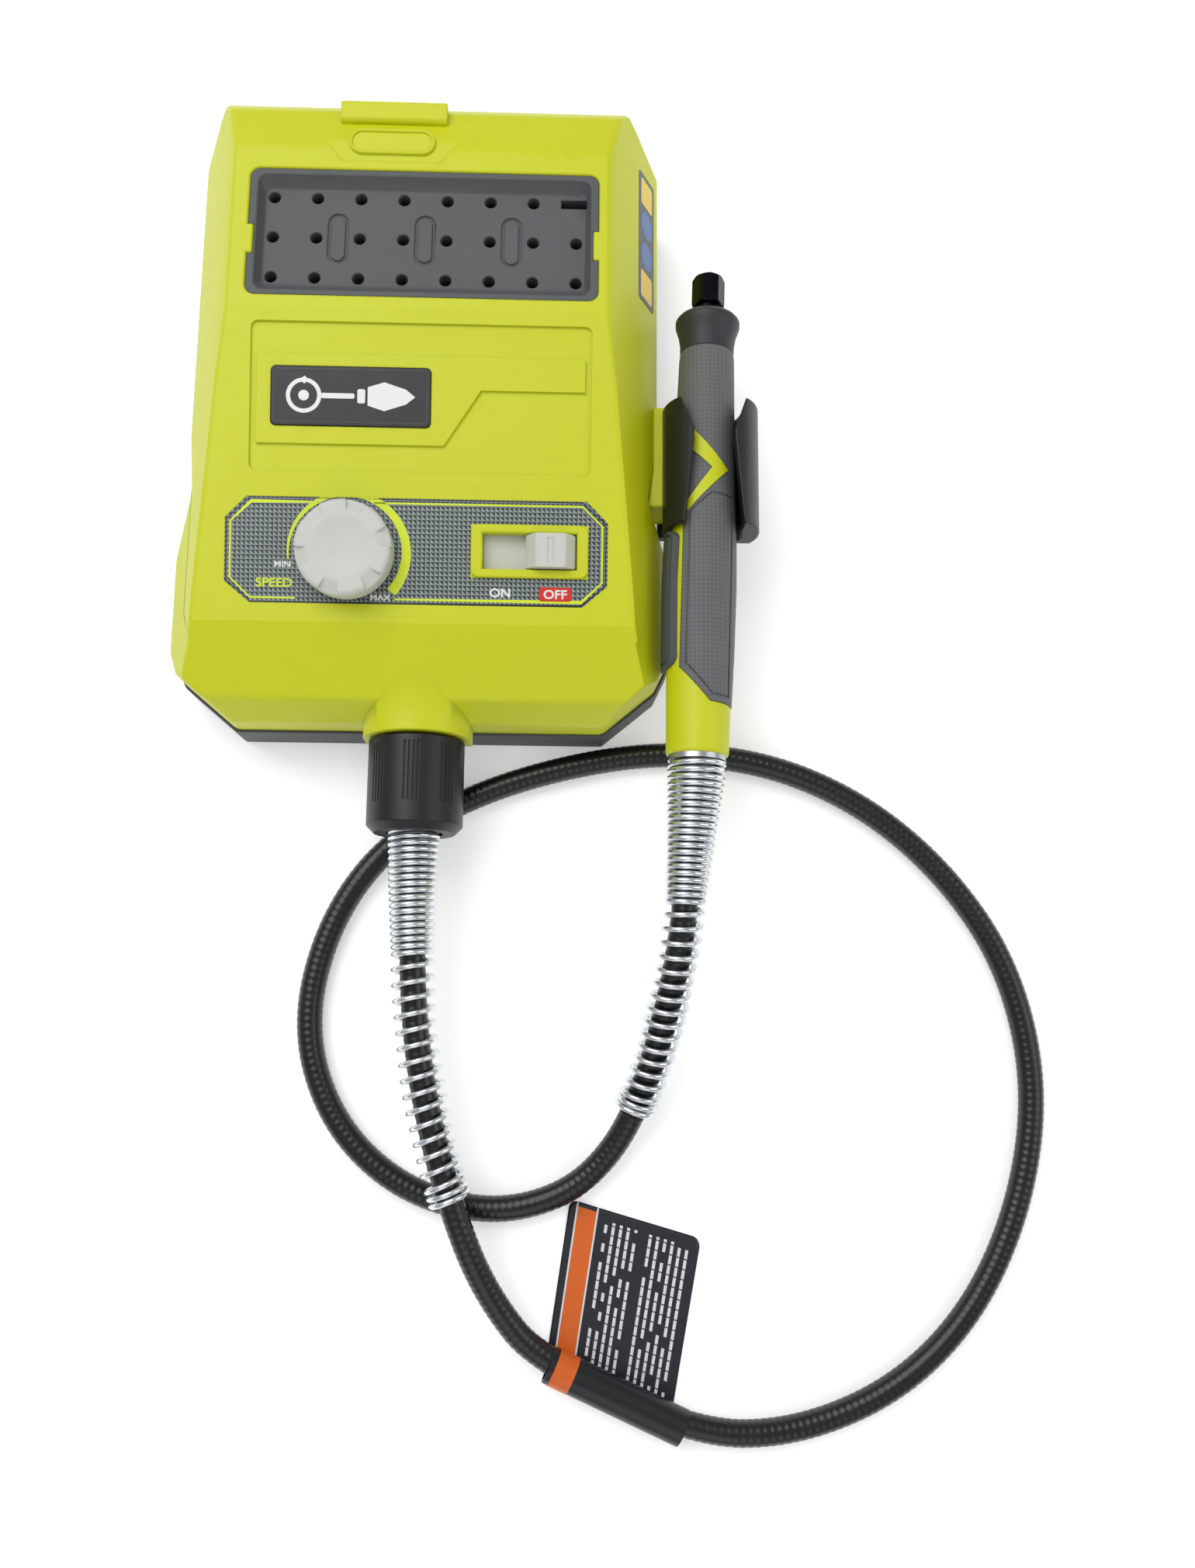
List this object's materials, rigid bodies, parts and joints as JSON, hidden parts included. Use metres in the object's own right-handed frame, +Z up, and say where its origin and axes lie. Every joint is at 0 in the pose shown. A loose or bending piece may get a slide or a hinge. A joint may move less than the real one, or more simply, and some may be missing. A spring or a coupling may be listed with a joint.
{
  "type": "rotary tool with flex shaft",
  "caption": "Bench rotary tool base with speed knob, slide switch and bit tray, driving a slim collet handpiece through a spring-guarded flexible shaft.",
  "frame": {"origin": "centre of the flat underside of the base unit, which lies on its back", "axes": "+Z up out of the control face, +Y towards the battery end and away from the drive outlet, +X towards the handpiece holder"},
  "size_m": [0.2625, 0.3916, 0.0602],
  "materials": {
    "lime_plastic": "fine spark-eroded satin",
    "grey_plastic": "fine spark-eroded satin",
    "tray_plastic": "fine satin",
    "black_plastic": "satin",
    "pale_plastic": "smooth semi-gloss",
    "badge_black": "smooth",
    "label_print": "printed film",
    "side_decal": "printed film",
    "label_black": "printed film",
    "label_orange": "printed film",
    "grey_rubber": "soft grained overmould",
    "black_rubber": "matt",
    "cap_plastic": "satin",
    "casing_black": "glossy extruded sheath",
    "spring_wire": "bright zinc plated",
    "steel": "turned",
    "pot_metal": "satin",
    "magnet": "sintered",
    "black_oxide": "black oxide on steel",
    "brass_contact": "smooth",
    "board": "solder-masked laminate"
  },
  "bodies": {
    "base_unit": {"base_shell": "grey_plastic", "top_shell": "lime_plastic", "casing_screws": "steel", "rubber_pads": "black_rubber", "storage_tray": "tray_plastic", "battery_socket": "black_plastic", "battery_terminals": "brass_contact", "circuit_board": "board", "badge_plate": "badge_black", "control_label": "label_print", "side_label": "side_decal", "speed_pot": "pot_metal", "switch_bezel": "lime_plastic", "switch_bed": "pale_plastic", "switch_body": "black_plastic", "motor_can": "steel", "motor_magnets": "magnet", "motor_endcap": "black_plastic", "motor_front_bearing": "brass_contact", "motor_rear_bearing": "brass_contact", "outlet_collar": "black_plastic", "base_ferrule": "steel", "holder_arm": "lime_plastic", "holder_clip": "black_plastic", "holder_screws": "steel", "flex_casing": "casing_black", "drive_core": "steel", "base_spring_guard": "spring_wire", "label_sleeve": "label_black", "label_band": "label_orange", "label_flag": "label_black"},
    "knob": {"speed_knob": "pale_plastic", "pot_shaft": "pot_metal"},
    "slider": {"switch_slider": "pale_plastic"},
    "rotor": {"rotor_core": "steel", "motor_shaft": "steel", "commutator": "brass_contact", "cooling_fan": "black_plastic", "drive_coupling": "steel"},
    "outlet_nut": {"coupling_nut": "black_plastic"},
    "handpiece": {"handpiece_body": "lime_plastic", "handpiece_grip": "grey_rubber", "side_strip": "grey_plastic", "chevron_inlay": "lime_plastic", "front_cap": "cap_plastic", "handpiece_rear_bearing": "steel", "handpiece_front_bearing": "steel", "handpiece_ferrule": "steel", "handpiece_spring_guard": "spring_wire"},
    "spindle_set": {"spindle": "steel", "collet": "steel", "drive_socket": "steel"},
    "chuck_nut": {"collet_nut": "black_oxide"}
  },
  "joints": [
    {"name": "knob_turn", "type": "hinge", "parent": "base_unit", "child": "knob", "pos_m": [-0.0189, -0.0465, 0.04854], "axis": [0, 0.165, -0.9863], "range_deg": [0, 270]},
    {"name": "switch_slide", "type": "slide", "parent": "base_unit", "child": "slider", "axis": [-1, 0, 0], "range_m": [0, 0.012]},
    {"name": "motor_spin", "type": "hinge", "parent": "base_unit", "child": "rotor", "pos_m": [0, -0.05, 0.0235], "axis": [0, -1, 0], "continuous": true},
    {"name": "coupling_nut_turn", "type": "hinge", "parent": "base_unit", "child": "outlet_nut", "pos_m": [0, -0.109, 0.0235], "axis": [0, -1, 0], "range_deg": [0, 720]},
    {"name": "handpiece_lift", "type": "slide", "parent": "base_unit", "child": "handpiece", "axis": [0, 0, 1], "range_m": [0, 0.03], "deforming": ["flex_casing", "drive_core", "handpiece_spring_guard", "holder_clip"]},
    {"name": "spindle_spin", "type": "hinge", "parent": "handpiece", "child": "spindle_set", "pos_m": [0.08315, -0.04102, 0.034], "axis": [0.0276, 0.9996, 0], "continuous": true},
    {"name": "collet_nut_turn", "type": "hinge", "parent": "spindle_set", "child": "chuck_nut", "pos_m": [0.0855, 0.04394, 0.034], "axis": [0.0276, 0.9996, 0], "range_deg": [0, 360]}
  ],
  "couplings": [
    {"joint": "spindle_spin", "follows": "motor_spin", "ratio": 1}
  ]
}
